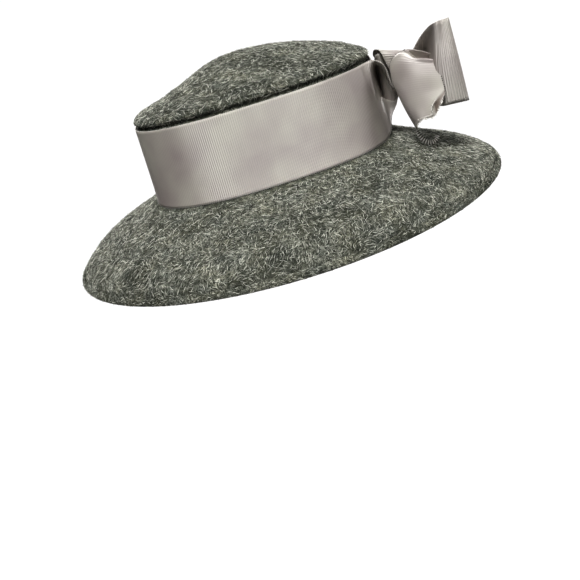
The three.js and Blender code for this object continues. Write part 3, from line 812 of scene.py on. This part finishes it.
knot_sections = [[row["foot"], row["head"]] for row in KNOT_WRAP]
knot_length = 0.125
bow_knot, _ = ribbon_piece(
    "knot_wrap", knot_sections, along_steps=112, across_steps=8, cut_length=knot_length, closed=True)
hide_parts("bow_knot")

# ---------------------------------------------------------------- bow loops
# Two loops of the same ribbon stand out of the knot, gathered where it holds them. The near
# one stands up and is turned flat to the side, with a sharp fold at its outer end. The far
# one droops behind the knot.
# The gathers are not modelled: the cloth gets narrower at the knot. So each loop has less
# cloth than the real one, and its length as cut is given shorter than its middle line, by
# 9 mm on the near loop and 10 mm on the far one.
NEAR_LOOP = [
    {"low": (41, 114, 75), "mid": (42, 114, 84), "high": (41, 114, 93)},
    {"low": (43.5, 121, 70), "mid": (39.5, 122, 84), "high": (46, 121.2, 100.2)},
    {"low": (46, 126, 65.5), "mid": (37, 129, 87), "high": (58, 127.8, 111.4)},
    {"low": (53, 130, 62), "mid": (43, 132.4, 89), "high": (70, 132.8, 118.2)},
    {"low": (69, 130.8, 60.5), "mid": (72, 131.4, 90), "high": (75, 136.6, 120)},
    {"low": (69.4, 139.6, 59.6), "mid": (73.4, 139, 90), "high": (72, 141.2, 120)},
    {"low": (66.8, 151.6, 58.3), "mid": (71, 148.8, 89.5), "high": (70.4, 147, 119.8)},
    {"low": (64.8, 152.3, 58.2), "mid": (68.6, 149.6, 89.2), "high": (68, 147.8, 119.4)},
    {"low": (56, 147, 59.5), "mid": (56.5, 145, 88), "high": (56, 143, 115.5)},
    {"low": (44, 135.5, 62.5), "mid": (44, 134, 86), "high": (43.5, 133.5, 106.5)},
    {"low": (37, 123.5, 69), "mid": (37, 123, 84), "high": (36.5, 123.5, 96.5)},
    {"low": (35.5, 114, 76), "mid": (35.5, 114, 84), "high": (35.5, 114, 93)},
]
FAR_LOOP = [
    {"low": (31.5, 114, 76), "mid": (31.5, 114, 84), "high": (31.5, 114, 93)},
    {"low": (28, 123.5, 67), "mid": (28, 124, 80), "high": (28, 124, 96)},
    {"low": (12, 128, 54), "mid": (13, 132, 76), "high": (14, 138, 98)},
    {"low": (-8, 129, 46), "mid": (-7, 135, 70), "high": (-5, 143, 95)},
    {"low": (-10, 131.5, 46), "mid": (-9, 137.5, 70), "high": (-7, 145.5, 95)},
    {"low": (10, 138, 53), "mid": (11, 141, 76), "high": (13, 146, 98)},
    {"low": (28, 130.5, 63), "mid": (29, 131, 80), "high": (30, 132, 98)},
    {"low": (33.2, 122.5, 72), "mid": (33.4, 122.5, 84), "high": (33.4, 122.5, 93.5)},
]
for name, node, table, loop_length in (
    ("loop_near", "bow_loop_near", NEAR_LOOP, 0.118),
    ("loop_far", "bow_loop_far", FAR_LOOP, 0.097),
):
    loop_sections = [list(row.values()) for row in table]
    loop_piece, loop_edges = ribbon_piece(
        name, loop_sections, along_steps=8 * (len(table) - 1), across_steps=20,
        cut_length=loop_length, rib_depth=1.4)
    loop_thread = edge_loops(name + "_edge_loops", loop_edges, RIB_PITCH)
    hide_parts(node)

# ---------------------------------------------------------------- bow tail and torn selvedge
# The short end of the bow's ribbon comes over the knot's top, rolls down in front of it with
# its inner side turned under, and ends in a worn slanting cut. A thin strip of its selvedge
# has torn off and curls down to the brim.
TAIL = [
    {"inner": (31, 117.4, 103), "roll": (31, 118.4, 103), "left": (31, 119.4, 102.8),
     "middle": (31, 120.4, 102.2), "right": (31, 121.4, 100.8), "outer": (31, 122.4, 99.2)},
    {"inner": (42.5, 116.4, 103.4), "roll": (42.5, 117.4, 103.4), "left": (42.8, 118.6, 103.2),
     "middle": (44, 120.6, 101.2), "right": (45, 123.4, 99.4), "outer": (46, 126.6, 96.6)},
    {"inner": (52.4, 116.5, 105.0), "roll": (54.4, 118.2, 104.9), "left": (56.4, 120.6, 104.2),
     "middle": (58.0, 124.4, 102.7), "right": (59.3, 129.6, 100.0), "outer": (60.0, 134.8, 96.4)},
    {"inner": (52.6, 116.5, 104.8), "roll": (54.5, 118.2, 104.3), "left": (56.1, 120.7, 103.5),
     "middle": (57.4, 124.4, 101.9), "right": (58.5, 129.7, 99.2), "outer": (59.1, 134.9, 95.7)},
    {"inner": (53.2, 115.0, 104.8), "roll": (54.5, 116.9, 104.4), "left": (53.8, 120.0, 101.0),
     "middle": (52.5, 123.4, 96.2), "right": (52.0, 128.8, 93.8), "outer": (53.0, 135.9, 91.7)},
    {"inner": (53.8, 112.5, 104.8), "roll": (57.2, 114.3, 104.7), "left": (61.0, 117.2, 102.5),
     "middle": (64.2, 119.5, 98.9), "right": (66.0, 125.7, 96.8), "outer": (67.0, 133.1, 93.9)},
    {"inner": (54.5, 109.7, 104.3), "roll": (58.0, 112.2, 104.6), "left": (62.0, 116.2, 103.3),
     "middle": (66.0, 118.4, 99.7), "right": (68.2, 125.1, 97.2), "outer": (69.0, 132.6, 94.2)},
    {"inner": (54.5, 104.5, 101.0), "roll": (57.0, 106.6, 101.3), "left": (62.0, 110.5, 100.4),
     "middle": (66.6, 116.4, 97.9), "right": (68.9, 124.8, 94.5), "outer": (69.7, 133.9, 91.6)},
    {"inner": (52.5, 102.4, 96.0), "roll": (56.0, 103.0, 96.4), "left": (62.0, 107.1, 95.6),
     "middle": (67.9, 115.0, 93.7), "right": (70.2, 124.5, 91.1), "outer": (71.0, 134.2, 88.1)},
    {"inner": (51, 103.6, 88), "roll": (54.5, 101.7, 87.3), "left": (62.4, 105.6, 87.4),
     "middle": (70.0, 114.2, 87.0), "right": (72.2, 123.7, 85.2), "outer": (72.9, 133.5, 82.4)},
    {"inner": (52, 105.2, 77), "roll": (55.5, 103.5, 75.8), "left": (65.3, 106.5, 76.4),
     "middle": (73.0, 114.0, 76.7), "right": (75.0, 123.6, 75.3), "outer": (75.5, 133.3, 74.2)},
    {"inner": (55, 107.2, 64), "roll": (58.2, 106.2, 62.2), "left": (68.8, 107.5, 63.5),
     "middle": (76.2, 113.1, 64.9), "right": (77.6, 121.8, 66.4), "outer": (77.0, 132.3, 69.9)},
    {"inner": (59, 110.4, 48.8), "roll": (62.6, 110, 48), "left": (71.5, 109.4, 53.7),
     "middle": (78.6, 112.4, 57.3), "right": (79.6, 120.2, 57.0), "outer": (78.4, 129.7, 67.2)},
]
# The torn strip of selvedge in mm: its middle line, and the way across it at each place.
TORN_EDGE = [
    {"place": (59.6, 110.8, 46.9), "reach": (0.0, 0.4, 0.2)},
    {"place": (59.2, 111.3, 43.4), "reach": (0.1, 0.9, 0.3)},
    {"place": (58.7, 113.0, 39.6), "reach": (0.2, 1.2, 0.8)},
    {"place": (58.2, 115.7, 36.4), "reach": (0.2, 0.9, 1.2)},
    {"place": (58.0, 119.0, 34.2), "reach": (0.2, 0.3, 1.5)},
    {"place": (57.5, 122.4, 33.9), "reach": (0.2, -0.5, 1.4)},
    {"place": (57.0, 125.0, 35.4), "reach": (0.2, -1.0, 0.9)},
    {"place": (56.5, 126.2, 37.6), "reach": (0.1, -0.8, 0.2)},
]
# The tail gets narrower at the knot too. Its length as cut is given for the cloth that is here. With
# its gathers the real one's area is nearer 0.0057, and it is 6 mm longer.
tail_length = 0.090
tail_sections = [list(row.values()) for row in TAIL]
bow_tail, tail_edges = ribbon_piece(
    "bow_end", tail_sections, along_steps=108, across_steps=50, cut_length=tail_length,
    rib_depth=0.18)
# The tail's edge loops are coloured far darker than the band's, though they are the same thread:
# painted shade along the tail's selvedge.
tail_loops = edge_loops("bow_end_edge_loops", tail_edges, RIB_PITCH, shades=(0.0, 0.3), size=1.7)

# The lower outer corner is coloured dark: painted shade on the frayed flap there. Its upper limit rises
# towards the back.
SHADED_CORNER_START = 121.5 * MM
SHADED_CORNER_HEIGHT = 66.6 * MM
SHADED_CORNER_RISE = 0.6
SHADED_CORNER_BORDER = 1.6 * MM
tail_points = np.array([vertex.co for vertex in bow_tail.data.vertices])
past_start = tail_points[:, 1] - SHADED_CORNER_START
behind_corner = np.clip(past_start / SHADED_CORNER_BORDER, 0, 1)
limit = SHADED_CORNER_HEIGHT + SHADED_CORNER_RISE * past_start
below_corner = np.clip((limit - tail_points[:, 2]) / SHADED_CORNER_BORDER, 0, 1)
corner_painted_shade = bow_tail.data.attributes.new("corner_painted_shade", "FLOAT", "POINT")
corner_painted_shade.data.foreach_set("value", (behind_corner * below_corner).astype(np.float32))
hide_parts("bow_tail")
torn_length = 0.03
torn_sections = []
for row in TORN_EDGE:
    place, reach = np.array(row["place"]), np.array(row["reach"])
    torn_sections.append([place - 0.5 * reach, place + 0.5 * reach])
torn, torn_edges = ribbon_piece(
    "torn_edge", torn_sections, along_steps=56, across_steps=2, cut_length=torn_length)
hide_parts("torn_selvedge")

# Ends of thread show evenly all along the torn strip. Others fray out of the slanting cut
# and glint in the worn corner, at places drawn at random. All face the wearer's left.
CUT_STEPS, FRAYS = 120, 110
# The glints lie along this line, in mm.
WORN_LINE = [(80.2, 124.7, 69.1), (80.4, 121.5, 66.6), (80.6, 119.4, 63.4),
             (81.0, 119.5, 59.8), (80.0, 114.8, 58.6), (77.0, 109.4, 57.5)]
WORN_STEPS, GLINTS = 60, 46
STRIP_THREAD_STAND = 0.45 * MM
STRIP_THREAD_EXTRA = 1.6 * MM
STRIP_THREAD_WIDTH = 0.8 * MM
FRAY_STAND = 0.4 * MM
# The random threads in mm, least and most, and how widely they differ in bend.
FRAY_LENGTHS, FRAY_WIDTHS = (1.2, 3.4), (0.22, 0.42)
GLINT_LENGTHS, GLINT_WIDTHS = (0.8, 2.2), (0.35, 0.6)
THREAD_BEND_SPREAD = 0.15
to_the_left = (1.0, 0, 0)
steps = np.arange(1, len(torn_edges[0]) - 1, 2)
near, far = torn_edges[0][steps], torn_edges[1][steps]
across_strip = far - near
reach = np.linalg.norm(across_strip, axis=1)
count = len(steps)
straight = np.zeros(count)
lines = strand_points((near + far) / 2 + (STRIP_THREAD_STAND, 0, 0), across_strip / reach[:, None],
                      np.tile(to_the_left, (count, 1)), 2 * reach + STRIP_THREAD_EXTRA,
                      np.full(count, STRIP_THREAD_WIDTH), straight, straight)
cut_edge = smooth_line(np.array(tail_sections[-1][1:], float) * MM, CUT_STEPS)
at = loose.integers(0, CUT_STEPS + 1, FRAYS)
hanging = np.array((0.25, 0.1, -1.0)) + loose.normal(0, 0.35, (FRAYS, 3))
hanging /= np.linalg.norm(hanging, axis=1, keepdims=True)
outward = np.cross(hanging, np.tile((0, 1.0, 0), (FRAYS, 1)))
outward /= -np.linalg.norm(outward, axis=1, keepdims=True)
frays = strand_points(cut_edge[at] + (FRAY_STAND, 0, 0), hanging, outward,
                      loose.uniform(*FRAY_LENGTHS, FRAYS) * MM,
                      loose.uniform(*FRAY_WIDTHS, FRAYS) * MM,
                      loose.normal(0, THREAD_BEND_SPREAD, FRAYS), np.zeros(FRAYS))
worn_path = smooth_line(np.array(WORN_LINE) * MM, WORN_STEPS)
at = loose.integers(0, WORN_STEPS + 1, GLINTS)
crossing = np.array((0.1, 0.5, -0.8)) + loose.normal(0, 0.4, (GLINTS, 3))
crossing /= np.linalg.norm(crossing, axis=1, keepdims=True)
glints = strand_points(worn_path[at], crossing, np.tile(to_the_left, (GLINTS, 1)),
                       loose.uniform(*GLINT_LENGTHS, GLINTS) * MM,
                       loose.uniform(*GLINT_WIDTHS, GLINTS) * MM,
                       loose.normal(0, THREAD_BEND_SPREAD, GLINTS), np.zeros(GLINTS))
threads = np.concatenate([lines, frays, glints])
# Every other thread of the torn strip is near black: painted shade for the gaps between its threads.
strip_shades = np.where(np.arange(len(lines)) % 2, 0.08, 1)
thread_shades = np.concatenate([strip_shades, loose.uniform(0.6, 1, FRAYS + GLINTS)])
torn_threads = joined_mesh("torn_threads", threads, STRAND_FACES, thread_shades, edge_thread)
